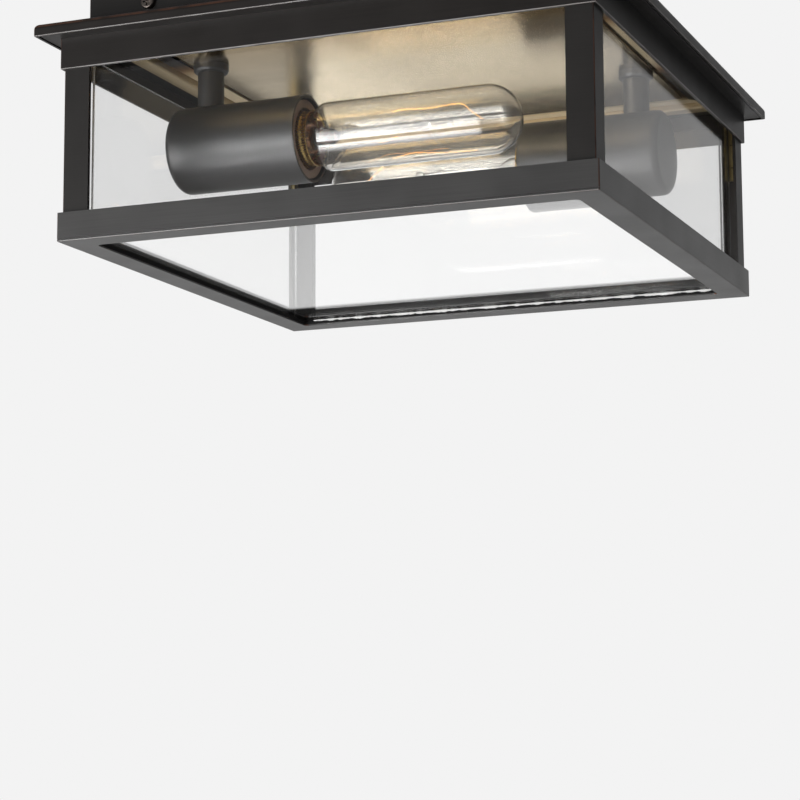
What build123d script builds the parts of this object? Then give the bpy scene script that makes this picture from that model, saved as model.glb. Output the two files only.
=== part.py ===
from build123d import *
from math import sqrt
import os

# Flush mount lantern. The origin is the centre of the canopy's top face, on the ceiling.
# +Z is up, X runs along the front face and -Y is the front. All sizes are millimetres.
# The canopy, the reflector and the lampholders stay on the ceiling. The glazed cage hangs below them:
# its collar slides up inside the canopy, where four grip screws hold it, and slides down for a new bulb.

os.makedirs("parts", exist_ok=True)

# Plan width over the roof's edges, which the canopy and the frame keep their distance from
roof_width = 267.0
canopy_inset = 18.0
frame_inset = 8.5

# Canopy box
canopy_height = 18.9
canopy_wall = 1.2
canopy_top = 1.5
canopy_corner = 0.8
box_screw_near = 69.85
box_screw_far = 88.9
box_slot_width = 5.0
wire_hole = 28.0

# Grip screws through the canopy's front and back walls, with nuts inside
grip_inset = 30.1
grip_lift = 9.1
grip_diameter = 4.0
grip_head = 6.4
grip_head_height = 2.2
grip_head_round = 0.9
recess_length = 3.6
recess_width = 0.8
recess_depth = 1.2
nut_width = 7.0
nut_height = 3.0
nut_gap = 0.4
screw_gap = 0.1

# Earth screw inside the canopy
earth_x = 60.0
earth_y = 60.0
earth_diameter = 4.0
earth_head = 8.0
earth_head_height = 3.0
earth_end = 0.2

# Reflector strip and socket plate
reflector_sheet = 0.8
reflector_gap = 0.5
reflector_drop = 0.5
reflector_bend = 2.0
reflector_return = 8.0
strip_width = 8.5
plate_sheet = 1.0
plate_gap = 2.4
plate_corner = 2.0
plate_round = 0.4
spacer_end_inset = 14.3
spacer_side_inset = 19.3
spacer_diameter = 8.0
plate_screw_diameter = 4.0
plate_screw_length = 12.0
plate_head = 7.0
plate_head_height = 2.4
plate_head_round = 1.0

# Roof and skirt of the cage
roof_sheet = 1.5
roof_lip = 5.8
roof_corner = 0.8
roof_edge = 2.4
roof_lower_edge = 0.5
collar_height = 13.4
seat_gap = 0.1
hem_gap = 0.6
hem_recess = 0.4
skirt_depth = 19.5
skirt_sheet = 1.5
skirt_corner = 0.6
skirt_edge = 0.5
flange_edge = 1.2

# Bottom frame and posts
cage_height = 97.9
frame_height = 13.1
frame_wall = 1.8
frame_floor = 2.0
frame_ledge = 12.8
frame_corner = 0.6
frame_edge = 0.5
seam_lift = 0.9
seam_height = 0.4
seam_depth = 0.7
ledge_corner = 2.5
ledge_lip = 0.6
ledge_lip_wall = 1.5
post_leg = 12.4
post_sheet = 1.5
post_corner = 0.5

# Glass
pane_thickness = 3.0
pane_setback = 1.9
pane_lap = 0.2
pane_gap = 0.2
pane_tuck = 8.0
pane_arris = 0.3
floor_glass_gap = 0.3
sealant = 2.0
clip_width = 10.0
clip_lap = 4.6
clip_sheet = 0.6
clip_rise = 6.5
clip_hook = 5.0
side_clip_height = 30.0
side_clip_foot = 7.0
side_clip_gap = 0.4
side_clip_hook = 3.3

# Lampholders: distances along a lamp's axis run from the closed end of the cup to the bulb's tip
lamp_offset = 44.0
lamp_drop = 40.5
stem_edge = 8.3
stem_diameter = 12.4
stem_thread = 9.6
stem_bore = 7.0
stem_gap = 0.1
stem_thread_up = 6.0
ring_diameter = 16.6
ring_height = 4.0
ring_round = 1.9
lock_nut_width = 14.0
lock_nut_height = 3.0
cup_diameter = 40.6
cup_length = 66.0
cup_wall = 1.2
cup_round = 3.5
stem_inset = 14.7
bracket_sheet = 1.5
bracket_width = 12.0
bracket_leg = 24.0
bracket_gap = 0.1
holder_fit = 0.15
holder_rim = 18.2
holder_rim_bore = 14.4
holder_rim_depth = 3.0
holder_recess = 1.2
holder_back = 10.0
holder_floor = 4.0
shell_gap = 0.3
shell_wall = 0.4
shell_recess = 3.5
contact_depth = 20.8
contact_gap = 0.2
leaf_sheet = 0.4
leaf_rise = 1.6
leaf_length = 13.0
leaf_foot = 2.0
leaf_width = 5.0

# Bulb: a clear tube with a screw cap
bulb_length = 124.1
bulb_diameter = 31.8
glass_wall = 0.7
neck_radius = 12.2
shoulder_length = 7.0
cap_length = 24.0
cap_radius = 13.0
cap_wall = 0.4
cap_taper = 5.0
cap_end_radius = 7.5
cap_grip = 5.0
tip_radius = 4.6
tip_height = 2.0
tip_dome = 1.2
insulator_height = 2.5
insulator_edge = 0.6
mount_radius = 4.6
mount_length = 12.0
mount_flange = 2.0
mount_taper = 6.0
mount_gap = 0.1
rod_radius = 1.3
rod_length = 54.1
button_radius = 2.4
wire_radius = 0.2
filament_start = 38.2
filament_length = 44.0
filament_rise = 8.5
filament_sag = 12.0
filament_slope = 11.0

# Widths, levels and half widths that follow from the sizes above
canopy_width = roof_width - 2 * canopy_inset
frame_width = roof_width - 2 * frame_inset
grip_spacing = canopy_width - 2 * grip_inset
roof_top = -(canopy_height + seat_gap)
roof_under = roof_top - roof_sheet
flange_under = roof_under - skirt_sheet
lip_bottom = roof_top - roof_lip
skirt_bottom = roof_top - skirt_depth
frame_bottom = roof_top - cage_height
floor_top = frame_bottom + frame_floor
lip_top = floor_top + ledge_lip
pane_top = skirt_bottom + pane_tuck
reflector_under = roof_top - reflector_drop
plate_top = reflector_under + plate_sheet
canopy_inner = canopy_width / 2 - canopy_wall
collar_outer = canopy_inner - nut_height - nut_gap
collar_inner = collar_outer - roof_sheet
reflector_half = collar_inner - reflector_gap
plate_opening = 2 * (reflector_half - strip_width)
plate_width = plate_opening - 2 * plate_gap
stem_spread = plate_width / 2 - stem_edge
spacer_x = plate_width / 2 - spacer_end_inset
spacer_y = plate_width / 2 - spacer_side_inset
post_half = frame_width / 2 - frame_wall
skirt_half = post_half + skirt_sheet
opening = frame_width - 2 * frame_ledge
hem_half = roof_width / 2 - roof_sheet - hem_gap
pane_half = post_half - post_leg + pane_lap
pane_outer = post_half - post_sheet - pane_setback
pane_inner = pane_outer - pane_thickness
floor_glass_top = lip_top + pane_thickness
grip_level = -canopy_height + grip_lift
lamp_axis = reflector_under - lamp_drop
cup_radius = cup_diameter / 2
cup_inner = cup_radius - cup_wall
cup_back = -(stem_spread + stem_inset)
cup_mouth = cup_back + cup_length
contact_end = cup_mouth - contact_depth
holder_bottom = contact_end - contact_gap - leaf_rise
holder_end = holder_bottom - holder_floor
shell_inner = cap_radius + shell_gap
shell_outer = shell_inner + shell_wall
bulb_radius = bulb_diameter / 2
tip_curve = (tip_radius ** 2 + tip_dome ** 2) / (2 * tip_dome)
nut_radius = nut_width / sqrt(3)
lock_nut_radius = lock_nut_width / sqrt(3)

sides = {"front": (0, -1), "right": (1, 0), "back": (0, 1), "left": (-1, 0)}


def square_ring(outer_half, inner_half):
    """Sketch a square ring from its two half widths."""
    Rectangle(2 * outer_half, 2 * outer_half)
    Rectangle(2 * inner_half, 2 * inner_half, mode=Mode.SUBTRACT)


def across(lamp, distance):
    """Plane square to a lamp's axis, at a distance along it."""
    return Plane(origin=lamp.from_local_coords((distance, 0, 0)), x_dir=lamp.y_dir, z_dir=lamp.x_dir)


# Canopy box: open below, with slots for the junction box screws and a hole for the supply wires
slot_length = (box_screw_far - box_screw_near) / 2 + box_slot_width
slot_spacing = (box_screw_far + box_screw_near) / 2
with BuildPart() as canopy_box:
    with BuildSketch(Plane.XY.offset(-canopy_height)):
        RectangleRounded(canopy_width, canopy_width, canopy_corner)
    extrude(amount=canopy_height)
    with BuildSketch(Plane.XY.offset(-canopy_height)):
        Rectangle(2 * canopy_inner, 2 * canopy_inner)
    extrude(amount=canopy_height - canopy_top, mode=Mode.SUBTRACT)
    with BuildSketch():
        Circle(wire_hole / 2)
        with GridLocations(slot_spacing, 0, 2, 1):
            SlotOverall(slot_length, box_slot_width)
        with Locations((earth_x, earth_y)):
            Circle(earth_diameter / 2 + screw_gap)
    extrude(amount=-canopy_top, mode=Mode.SUBTRACT)
    with BuildSketch(Plane.XZ):
        with Locations((0, grip_level)):
            with GridLocations(grip_spacing, 0, 2, 1):
                Circle(grip_diameter / 2 + screw_gap)
    extrude(amount=canopy_width, both=True, mode=Mode.SUBTRACT)
canopy_box.part.label = "canopy_box"
export_step(canopy_box.part, "parts/canopy_box.step")

# Grip nuts, on the inner faces of the canopy's front and back walls
with BuildPart() as grip_nuts:
    with BuildSketch(Plane.XZ.offset(canopy_inner - nut_height)):
        with Locations((0, grip_level)):
            with GridLocations(grip_spacing, 0, 2, 1):
                RegularPolygon(nut_radius, 6)
                Circle(grip_diameter / 2 + screw_gap, mode=Mode.SUBTRACT)
    extrude(amount=nut_height)
    mirror(about=Plane.XZ)
grip_nuts.part.label = "grip_nuts"
export_step(grip_nuts.part, "parts/grip_nuts.step")

# Grip screws: round pan heads outside, tips that bear on the cage's collar
with BuildPart() as grip_screws:
    with BuildSketch(Plane.XZ.offset(canopy_width / 2)):
        with Locations((0, grip_level)):
            with GridLocations(grip_spacing, 0, 2, 1):
                Circle(grip_head / 2)
    extrude(amount=grip_head_height)
    fillet(grip_screws.faces().filter_by(Axis.Y).group_by(Axis.Y)[0].edges(), grip_head_round)
    with BuildSketch(Plane.XZ.offset(canopy_width / 2 + grip_head_height)):
        with Locations((0, grip_level)):
            with GridLocations(grip_spacing, 0, 2, 1):
                Rectangle(recess_length, recess_width)
                Rectangle(recess_width, recess_length)
    extrude(amount=-recess_depth, mode=Mode.SUBTRACT)
    with BuildSketch(Plane.XZ.offset(collar_outer + screw_gap)):
        with Locations((0, grip_level)):
            with GridLocations(grip_spacing, 0, 2, 1):
                Circle(grip_diameter / 2)
    extrude(amount=canopy_width / 2 - collar_outer - screw_gap)
    mirror(about=Plane.XZ)
grip_screws.part.label = "grip_screws"
export_step(grip_screws.part, "parts/grip_screws.step")

# Earth screw, hung from the canopy's top plate
with BuildPart() as earth_screw:
    with BuildSketch(Plane.XY.offset(-canopy_top)):
        with Locations((earth_x, earth_y)):
            RegularPolygon(earth_head / 2, 6)
    extrude(amount=-earth_head_height)
    with BuildSketch(Plane.XY.offset(-canopy_top)):
        with Locations((earth_x, earth_y)):
            Circle(earth_diameter / 2)
    extrude(amount=canopy_top - earth_end)
earth_screw.part.label = "earth_screw"
export_step(earth_screw.part, "parts/earth_screw.step")

# Reflector strip: a folded tray with an open middle, fixed to the canopy's top plate by its upper return
with BuildPart() as reflector_strip:
    with BuildSketch(Plane.XY.offset(reflector_under)):
        Rectangle(2 * reflector_half, 2 * reflector_half)
    extrude(amount=-canopy_top - reflector_under)
    fillet(reflector_strip.faces().sort_by(Axis.Z)[0].edges(), reflector_bend)
    offset(amount=-reflector_sheet, openings=reflector_strip.faces().sort_by(Axis.Z)[-1])
    with BuildSketch(Plane.XY.offset(-canopy_top)):
        square_ring(reflector_half, reflector_half - reflector_return)
    extrude(amount=-reflector_sheet)
    with BuildSketch(Plane.XY.offset(reflector_under)):
        Rectangle(plate_opening, plate_opening)
    extrude(amount=reflector_sheet, mode=Mode.SUBTRACT)
reflector_strip.part.label = "reflector_strip"
export_step(reflector_strip.part, "parts/reflector_strip.step")

# Socket plate: fills the strip's opening but for a narrow gap
stem_points = [(-stem_spread, -lamp_offset), (stem_spread, lamp_offset)]
spacer_points = [(-spacer_x, spacer_y), (spacer_x, -spacer_y)]
with BuildPart() as socket_plate:
    with BuildSketch(Plane.XY.offset(reflector_under)):
        RectangleRounded(plate_width, plate_width, plate_corner)
        with Locations(*stem_points):
            Circle(stem_thread / 2 + stem_gap, mode=Mode.SUBTRACT)
        with Locations(*spacer_points):
            Circle(plate_screw_diameter / 2 + screw_gap, mode=Mode.SUBTRACT)
    extrude(amount=plate_sheet)
    fillet(socket_plate.faces().sort_by(Axis.Z)[0].outer_wire().edges(), plate_round)
socket_plate.part.label = "socket_plate"
export_step(socket_plate.part, "parts/socket_plate.step")

# Spacers between the canopy's top plate and the socket plate
with BuildPart() as plate_spacers:
    with BuildSketch(Plane.XY.offset(plate_top)):
        with Locations(*spacer_points):
            Circle(spacer_diameter / 2)
    extrude(amount=-canopy_top - plate_top)
    with BuildSketch(Plane.XY.offset(plate_top)):
        with Locations(*spacer_points):
            Circle(plate_screw_diameter / 2 + screw_gap)
    extrude(amount=plate_screw_length, mode=Mode.SUBTRACT)
plate_spacers.part.label = "plate_spacers"
export_step(plate_spacers.part, "parts/plate_spacers.step")

# Socket plate screws
with BuildPart() as plate_screws:
    with BuildSketch(Plane.XY.offset(reflector_under)):
        with Locations(*spacer_points):
            Circle(plate_head / 2)
    extrude(amount=-plate_head_height)
    fillet(plate_screws.faces().group_by(Axis.Z)[0].edges(), plate_head_round)
    with BuildSketch(Plane.XY.offset(reflector_under - plate_head_height)):
        with Locations(*spacer_points):
            Rectangle(recess_length, recess_width)
            Rectangle(recess_width, recess_length)
    extrude(amount=recess_depth, mode=Mode.SUBTRACT)
    with BuildSketch(Plane.XY.offset(reflector_under)):
        with Locations(*spacer_points):
            Circle(plate_screw_diameter / 2)
    extrude(amount=plate_screw_length)
plate_screws.part.label = "plate_screws"
export_step(plate_screws.part, "parts/plate_screws.step")

# Lamps: the rear one is the front one turned half round
bracket_top = sqrt(cup_inner ** 2 - (bracket_width / 2) ** 2) - bracket_gap
bracket_under = bracket_top - bracket_sheet
for name, turn in (("front", 1), ("rear", -1)):
    # The lamp plane stands upright on the lamp's axis: its x runs towards the bulb's tip, its y is up
    lamp = Plane(origin=(0, -lamp_offset * turn, lamp_axis), x_dir=(turn, 0, 0), z_dir=(0, -turn, 0))
    axis = Axis(lamp.origin, lamp.x_dir)
    stem_foot = lamp.from_local_coords((-stem_spread, 0, 0))
    stem_plan = Plane(origin=stem_foot, x_dir=(turn, 0, 0), z_dir=(0, 0, 1))

    # Stem: a sleeve coped to sit on the cup, over a threaded tube that carries the wires
    with BuildPart() as stem:
        with BuildSketch(stem_plan):
            Circle(stem_diameter / 2)
        extrude(amount=lamp_drop)
        with BuildSketch(Plane(origin=lamp.origin, x_dir=lamp.y_dir, z_dir=lamp.x_dir)):
            Circle(cup_radius)
        extrude(amount=-stem_spread - stem_inset, mode=Mode.SUBTRACT)
        with BuildSketch(stem_plan.offset(bracket_under - lock_nut_height)):
            Circle(stem_thread / 2)
        extrude(amount=lamp_drop + stem_thread_up - bracket_under + lock_nut_height)
        with BuildSketch(stem_plan):
            Circle(stem_bore / 2)
        extrude(amount=lamp_drop + stem_thread_up, mode=Mode.SUBTRACT)
    stem.part.label = f"{name}_stem"
    export_step(stem.part, f"parts/{name}_stem.step")

    # Ring: a collar round the stem, flat against the socket plate and rounded below
    with BuildPart() as ring:
        with BuildSketch(stem_plan.offset(lamp_drop - ring_height)):
            Circle(ring_diameter / 2)
            Circle(stem_diameter / 2 + stem_gap, mode=Mode.SUBTRACT)
        extrude(amount=ring_height)
        fillet(ring.faces().sort_by(Axis.Z)[0].outer_wire().edges(), ring_round)
    ring.part.label = f"{name}_ring"
    export_step(ring.part, f"parts/{name}_ring.step")

    # Lock nuts: one above the socket plate, one under the bracket in the cup
    with BuildPart() as lock_nuts:
        for level in (lamp_drop + plate_sheet, bracket_under - lock_nut_height):
            with BuildSketch(stem_plan.offset(level)):
                RegularPolygon(lock_nut_radius, 6)
                Circle(stem_thread / 2 + stem_gap, mode=Mode.SUBTRACT)
            extrude(amount=lock_nut_height)
    lock_nuts.part.label = f"{name}_lock_nuts"
    export_step(lock_nuts.part, f"parts/{name}_lock_nuts.step")

    # Cup: a drawn tube with a rounded closed end
    with BuildPart() as cup:
        with BuildSketch(across(lamp, cup_back)):
            Circle(cup_radius)
        extrude(amount=cup_length)
        fillet(cup.faces().sort_by(axis)[0].edges(), cup_round)
        offset(amount=-cup_wall, openings=cup.faces().sort_by(axis)[-1])
        with BuildSketch(stem_plan):
            Circle(stem_thread / 2 + stem_gap)
        extrude(amount=cup_diameter, mode=Mode.SUBTRACT)
    cup.part.label = f"{name}_cup"
    export_step(cup.part, f"parts/{name}_cup.step")

    # Bracket: an angle that hangs the lampholder from the stem's lower end
    with BuildPart() as bracket:
        with BuildSketch(lamp):
            with BuildLine():
                Polyline(
                    (-stem_spread - bracket_width / 2, bracket_top),
                    (holder_end, bracket_top),
                    (holder_end, bracket_top - bracket_leg),
                    (holder_end - bracket_sheet, bracket_top - bracket_leg),
                    (holder_end - bracket_sheet, bracket_under),
                    (-stem_spread - bracket_width / 2, bracket_under),
                    close=True,
                )
            make_face()
        extrude(amount=bracket_width / 2, both=True)
        with BuildSketch(stem_plan):
            Circle(stem_thread / 2 + stem_gap)
        extrude(amount=cup_diameter, mode=Mode.SUBTRACT)
    bracket.part.label = f"{name}_bracket"
    export_step(bracket.part, f"parts/{name}_bracket.step")

    # Lampholder: a moulded body with a rim round the screw shell
    holder_front = cup_mouth - holder_recess
    holder_bore = shell_outer + holder_fit
    with BuildPart() as holder:
        with BuildSketch(lamp):
            with BuildLine():
                Polyline(
                    (holder_end, 0),
                    (holder_end, cup_inner - holder_fit),
                    (holder_end + holder_back, cup_inner - holder_fit),
                    (holder_end + holder_back, holder_rim),
                    (holder_front, holder_rim),
                    (holder_front, holder_rim_bore),
                    (holder_front - holder_rim_depth, holder_rim_bore),
                    (holder_front - holder_rim_depth, holder_bore),
                    (holder_bottom, holder_bore),
                    (holder_bottom, 0),
                    close=True,
                )
            make_face()
        revolve(axis=axis)
    holder.part.label = f"{name}_lampholder"
    export_step(holder.part, f"parts/{name}_lampholder.step")

    # Screw shell, lining the lampholder's bore
    shell_length = cup_mouth - shell_recess - holder_bottom
    with BuildPart() as shell:
        with BuildSketch(across(lamp, holder_bottom)):
            Circle(shell_outer)
            Circle(shell_inner, mode=Mode.SUBTRACT)
        extrude(amount=shell_length)
    shell.part.label = f"{name}_screw_shell"
    export_step(shell.part, f"parts/{name}_screw_shell.step")

    # Centre contact: a bowed leaf on the lampholder's floor
    with BuildPart() as leaf:
        with BuildSketch(lamp):
            with BuildLine():
                ThreePointArc(
                    (holder_bottom, -leaf_length / 2),
                    (holder_bottom + leaf_rise, 0),
                    (holder_bottom, leaf_length / 2),
                )
                Line((holder_bottom, leaf_length / 2), (holder_bottom, leaf_length / 2 - leaf_foot))
                ThreePointArc(
                    (holder_bottom, leaf_length / 2 - leaf_foot),
                    (holder_bottom + leaf_rise - leaf_sheet, 0),
                    (holder_bottom, leaf_foot - leaf_length / 2),
                )
                Line((holder_bottom, leaf_foot - leaf_length / 2), (holder_bottom, -leaf_length / 2))
            make_face()
        extrude(amount=leaf_width / 2, both=True)
    leaf.part.label = f"{name}_centre_contact"
    export_step(leaf.part, f"parts/{name}_centre_contact.step")

    # Bulb tip contact, a solder button
    with BuildPart() as tip:
        with BuildSketch(lamp):
            with BuildLine():
                RadiusArc((contact_end, 0), (contact_end + tip_dome, tip_radius), tip_curve)
                Polyline(
                    (contact_end + tip_dome, tip_radius),
                    (contact_end + tip_height, tip_radius),
                    (contact_end + tip_height, 0),
                    (contact_end, 0),
                )
            make_face()
        revolve(axis=axis)
    tip.part.label = f"{name}_bulb_contact"
    export_step(tip.part, f"parts/{name}_bulb_contact.step")

    # Bulb insulator, between the tip contact and the cap
    cap_start = contact_end + tip_height + insulator_height
    with BuildPart() as insulator:
        with BuildSketch(lamp):
            with BuildLine():
                Polyline(
                    (contact_end + tip_height, 0),
                    (contact_end + tip_height, tip_radius + insulator_edge),
                    (cap_start, cap_end_radius),
                    (cap_start, 0),
                    close=True,
                )
            make_face()
        revolve(axis=axis)
    insulator.part.label = f"{name}_bulb_insulator"
    export_step(insulator.part, f"parts/{name}_bulb_insulator.step")

    # Bulb cap: a thin screw cap with a tapered end
    cap_rim = contact_end + cap_length
    with BuildPart() as cap:
        with BuildSketch(lamp):
            with BuildLine():
                Polyline(
                    (cap_start, 0),
                    (cap_start, cap_end_radius),
                    (cap_start + cap_taper, cap_radius),
                    (cap_rim, cap_radius),
                    (cap_rim, cap_radius - cap_wall),
                    (cap_start + cap_taper, cap_radius - cap_wall),
                    (cap_start + cap_wall, cap_end_radius - cap_wall),
                    (cap_start + cap_wall, 0),
                    close=True,
                )
            make_face()
        revolve(axis=axis)
    cap.part.label = f"{name}_bulb_cap"
    export_step(cap.part, f"parts/{name}_bulb_cap.step")

    # Bulb glass: a tube with a round end and a shouldered neck held in the cap
    bulb_end = contact_end + bulb_length
    dome_start = bulb_end - bulb_radius
    shoulder = cap_rim + shoulder_length
    with BuildPart() as glass:
        with BuildSketch(lamp):
            with BuildLine():
                Line((cap_rim - cap_grip, neck_radius), (cap_rim, neck_radius))
                Spline((cap_rim, neck_radius), (shoulder, bulb_radius), tangents=((1, 0), (1, 0)))
                Line((shoulder, bulb_radius), (dome_start, bulb_radius))
                RadiusArc((dome_start, bulb_radius), (bulb_end, 0), bulb_radius)
                Line((bulb_end, 0), (bulb_end - glass_wall, 0))
                RadiusArc(
                    (bulb_end - glass_wall, 0),
                    (dome_start, bulb_radius - glass_wall),
                    glass_wall - bulb_radius,
                )
                Line((dome_start, bulb_radius - glass_wall), (shoulder, bulb_radius - glass_wall))
                Spline(
                    (shoulder, bulb_radius - glass_wall),
                    (cap_rim, neck_radius - glass_wall),
                    tangents=((-1, 0), (-1, 0)),
                )
                Line((cap_rim, neck_radius - glass_wall), (cap_rim - cap_grip, neck_radius - glass_wall))
                Line((cap_rim - cap_grip, neck_radius - glass_wall), (cap_rim - cap_grip, neck_radius))
            make_face()
        revolve(axis=axis)
    glass.part.label = f"{name}_bulb_glass"
    export_step(glass.part, f"parts/{name}_bulb_glass.step")

    # Bulb mount: a flared glass foot in the neck, a pressed seal and a thin rod with a button
    foot = cap_rim - cap_grip
    seal = cap_rim + mount_length
    button = cap_rim + rod_length
    with BuildPart() as mount:
        with BuildSketch(lamp):
            with BuildLine():
                Polyline(
                    (foot, 0),
                    (foot, neck_radius - glass_wall - mount_gap),
                    (foot + mount_flange, neck_radius - glass_wall - mount_gap),
                    (cap_rim, mount_radius),
                    (seal - mount_taper, mount_radius),
                    (seal, rod_radius),
                    (button - button_radius, rod_radius),
                    (button - button_radius, button_radius),
                    (button, button_radius),
                )
                RadiusArc((button, button_radius), (button + button_radius, 0), button_radius)
                Line((button + button_radius, 0), (foot, 0))
            make_face()
        revolve(axis=axis)
    mount.part.label = f"{name}_bulb_mount"
    export_step(mount.part, f"parts/{name}_bulb_mount.step")

    # Filament: one wire in a wide hairpin, from lead to lead
    near = filament_start + cap_rim
    far = near + filament_length
    lead = seal - mount_taper
    path = [(lead, mount_radius), (near, filament_rise), (far - filament_slope, filament_rise), (far, 0)]
    path += [(far, -filament_sag), (near, -filament_sag), (lead, -mount_radius)]
    with BuildPart() as filament:
        with BuildLine():
            wire = Polyline(*[lamp.from_local_coords((along, up, 0)) for along, up in path])
        with BuildSketch(Plane(origin=wire @ 0, z_dir=wire % 0)):
            Circle(wire_radius)
        sweep(path=wire, transition=Transition.RIGHT)
    filament.part.label = f"{name}_filament"
    export_step(filament.part, f"parts/{name}_filament.step")

# Roof: a folded square plate with a turned-down lip and a collar up into the canopy
with BuildPart() as roof_plate:
    with BuildSketch(Plane.XY.offset(lip_bottom)):
        RectangleRounded(roof_width, roof_width, roof_corner)
    extrude(amount=roof_lip)
    fillet(roof_plate.faces().sort_by(Axis.Z)[-1].edges(), roof_edge)
    fillet(roof_plate.faces().sort_by(Axis.Z)[0].edges(), roof_lower_edge)
    with BuildSketch(Plane.XY.offset(lip_bottom)):
        Rectangle(roof_width - 2 * roof_sheet, roof_width - 2 * roof_sheet)
    extrude(amount=roof_lip - roof_sheet, mode=Mode.SUBTRACT)
    with BuildSketch(Plane.XY.offset(roof_under)):
        square_ring(collar_outer, collar_inner)
    extrude(amount=roof_sheet + collar_height)
    with BuildSketch(Plane.XY.offset(roof_under)):
        Rectangle(2 * collar_inner, 2 * collar_inner)
    extrude(amount=roof_sheet, mode=Mode.SUBTRACT)
roof_plate.part.label = "roof_plate"
export_step(roof_plate.part, "parts/roof_plate.step")

# Skirt: a square band with a flange turned in under the roof and a hem turned out to the roof's lip
with BuildPart() as skirt:
    with BuildSketch(Plane.XY.offset(skirt_bottom)):
        RectangleRounded(2 * skirt_half, 2 * skirt_half, skirt_corner)
        Rectangle(2 * post_half, 2 * post_half, mode=Mode.SUBTRACT)
    extrude(amount=roof_under - skirt_bottom)
    with BuildSketch(Plane.XY.offset(flange_under)):
        square_ring(post_half, collar_inner)
    extrude(amount=skirt_sheet)
    fillet(skirt.faces().sort_by(Axis.Z)[0].outer_wire().edges(), skirt_edge)
    flange_face = skirt.faces().filter_by(Plane.XY).group_by(Axis.Z)[1]
    fillet(flange_face.wires().sort_by(SortBy.LENGTH)[0].edges(), flange_edge)
    with BuildSketch(Plane.XY.offset(lip_bottom + hem_recess)):
        square_ring(hem_half, post_half)
    extrude(amount=skirt_sheet)
skirt.part.label = "skirt"
export_step(skirt.part, "parts/skirt.step")

# Posts: corner angles from the bottom frame's floor to the skirt's flange
for front_back, sy in (("front", -1), ("back", 1)):
    for left_right, sx in (("left", -1), ("right", 1)):
        with BuildPart() as post:
            with BuildSketch(Plane.XY.offset(floor_top)):
                with Locations((sx * (post_half - post_leg / 2), sy * (post_half - post_leg / 2))):
                    Rectangle(post_leg, post_leg)
                inset = post_half - post_leg / 2 - post_sheet
                with Locations((sx * inset, sy * inset)):
                    Rectangle(post_leg, post_leg, mode=Mode.SUBTRACT)
            extrude(amount=flange_under - floor_top)
            corner = (sx * post_half, sy * post_half, (floor_top + flange_under) / 2)
            fillet(post.edges().filter_by(Axis.Z).sort_by_distance(corner)[0], post_corner)
        post.part.label = f"{front_back}_{left_right}_post"
        export_step(post.part, f"parts/{front_back}_{left_right}_post.step")

# Bottom frame: a folded ring with a flat ledge and a low lip that the bottom glass lies on.
# Along the front and the back a fine seam shows where the wall meets the ledge.
with BuildPart() as bottom_frame:
    with BuildSketch(Plane.XY.offset(frame_bottom)):
        RectangleRounded(frame_width, frame_width, frame_corner)
    extrude(amount=frame_height)
    fillet(bottom_frame.faces().sort_by(Axis.Z)[0].edges(), frame_edge)
    with BuildSketch(Plane.XY.offset(floor_top)):
        Rectangle(2 * post_half, 2 * post_half)
    extrude(amount=frame_height - frame_floor, mode=Mode.SUBTRACT)
    with BuildSketch(Plane.XY.offset(floor_top)):
        Rectangle(opening + 2 * ledge_lip_wall, opening + 2 * ledge_lip_wall)
    extrude(amount=ledge_lip)
    with BuildSketch(Plane.XY.offset(frame_bottom)):
        RectangleRounded(opening, opening, ledge_corner)
    extrude(amount=frame_floor + ledge_lip, mode=Mode.SUBTRACT)
    with BuildSketch(Plane.XY.offset(frame_bottom + seam_lift)):
        with GridLocations(0, frame_width - seam_depth, 1, 2):
            Rectangle(frame_width, seam_depth)
    extrude(amount=seam_height, mode=Mode.SUBTRACT)
bottom_frame.part.label = "bottom_frame"
export_step(bottom_frame.part, "parts/bottom_frame.step")

# Side panes, standing on the bottom frame's floor behind the posts, with their heads up behind the skirt
pane_height = pane_top - floor_top
for name, (nx, ny) in sides.items():
    middle = (pane_outer + pane_inner) / 2
    with BuildPart() as pane:
        with BuildSketch(Plane.XY.offset(floor_top)):
            with Locations((nx * middle, ny * middle)):
                if ny:
                    Rectangle(2 * pane_half, pane_thickness)
                else:
                    Rectangle(pane_thickness, 2 * pane_half)
        extrude(amount=pane_height)
        chamfer(pane.edges(), pane_arris)
    pane.part.label = f"{name}_pane"
    export_step(pane.part, f"parts/{name}_pane.step")

# Bottom glass, on the bottom frame's lip
floor_glass_half = pane_inner - floor_glass_gap
with BuildPart() as bottom_glass:
    with BuildSketch(Plane.XY.offset(lip_top)):
        Rectangle(2 * floor_glass_half, 2 * floor_glass_half)
    extrude(amount=pane_thickness)
    chamfer(bottom_glass.edges(), pane_arris)
bottom_glass.part.label = "bottom_glass"
export_step(bottom_glass.part, "parts/bottom_glass.step")

# Sealant: fillet beads in the corners between the bottom glass and the panes
with BuildPart() as bead:
    for nx, ny in sides.values():
        with BuildSketch(Plane(origin=(0, 0, 0), x_dir=(nx, ny, 0), z_dir=(ny, -nx, 0))):
            with BuildLine():
                Polyline(
                    (pane_inner - sealant, floor_glass_top),
                    (pane_inner, floor_glass_top),
                    (pane_inner, floor_glass_top + sealant),
                    close=True,
                )
            make_face()
        extrude(amount=pane_half, both=True)
bead.part.label = "sealant"
export_step(bead.part, "parts/sealant.step")

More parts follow.
